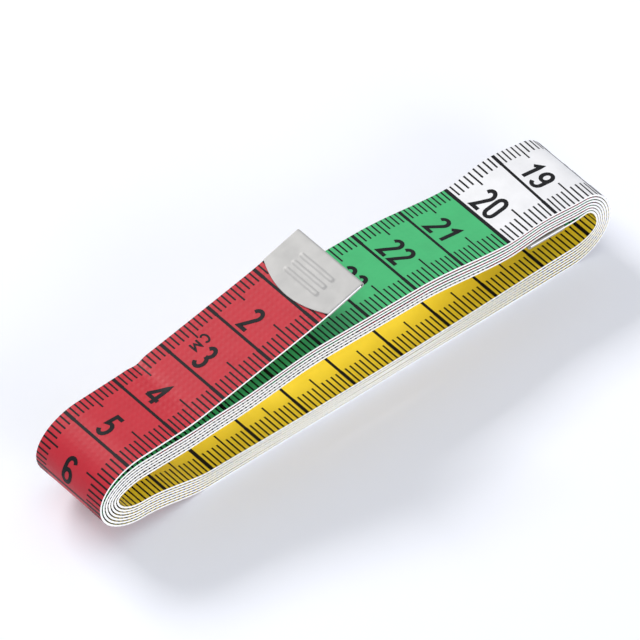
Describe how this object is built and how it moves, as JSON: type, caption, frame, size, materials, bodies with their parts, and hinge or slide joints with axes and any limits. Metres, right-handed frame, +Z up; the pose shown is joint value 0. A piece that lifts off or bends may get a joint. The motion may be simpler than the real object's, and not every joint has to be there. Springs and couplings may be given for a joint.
{
  "type": "tape measure",
  "caption": "Soft tape measure: a printed coated-cloth strip wound flat into a long loop, with a folded metal clip on each end and an outer end that lifts off the winding.",
  "frame": {"origin": "middle of the loop's length and of the strip's width, on the plane that the lower run rests on", "axes": "+X along the loop to the bend that the strip's inner end leaves, +Y across the strip's width, +Z up"},
  "size_m": [0.1082, 0.0164, 0.0261],
  "materials": {
    "coated_cloth": "satin plastic coat over woven cloth",
    "red_field": "satin plastic coat over woven cloth",
    "green_field": "satin plastic coat over woven cloth",
    "nickel_sheet": "matt nickel plate"
  },
  "bodies": {
    "winding": {"tape_winding": "coated_cloth"},
    "free_end_root": {"tape_free_end_root": "red_field"},
    "free_end_middle": {"tape_free_end_middle": "red_field"},
    "free_end_tip": {"tape_free_end_tip": "red_field", "free_end_clip": "nickel_sheet"},
    "inner_end": {"tape_inner_end": "green_field", "inner_end_clip": "nickel_sheet"}
  },
  "joints": [
    {"name": "free_end_lift", "type": "hinge", "parent": "winding", "child": "free_end_root", "pos_m": [-0.04253, 0, 0.01696], "axis": [0, -1, 0], "range_deg": [-2.5, 30], "stiffness_Nm_per_rad": 0.02},
    {"name": "free_end_bend", "type": "hinge", "parent": "free_end_root", "child": "free_end_middle", "pos_m": [-0.03124, 0, 0.01854], "axis": [0, -1, 0], "range_deg": [-2.5, 30]},
    {"name": "free_end_tip_bend", "type": "hinge", "parent": "free_end_middle", "child": "free_end_tip", "pos_m": [-0.02002, 0, 0.02067], "axis": [0, -1, 0], "range_deg": [-2.5, 30]},
    {"name": "inner_end_bend", "type": "hinge", "parent": "winding", "child": "inner_end", "pos_m": [0.04784, 0, 0.01035], "axis": [0, -1, 0], "range_deg": [0, 15], "stiffness_Nm_per_rad": 0.003}
  ],
  "couplings": [
    {"joint": "free_end_bend", "follows": "free_end_lift", "ratio": 1},
    {"joint": "free_end_tip_bend", "follows": "free_end_lift", "ratio": 1}
  ]
}
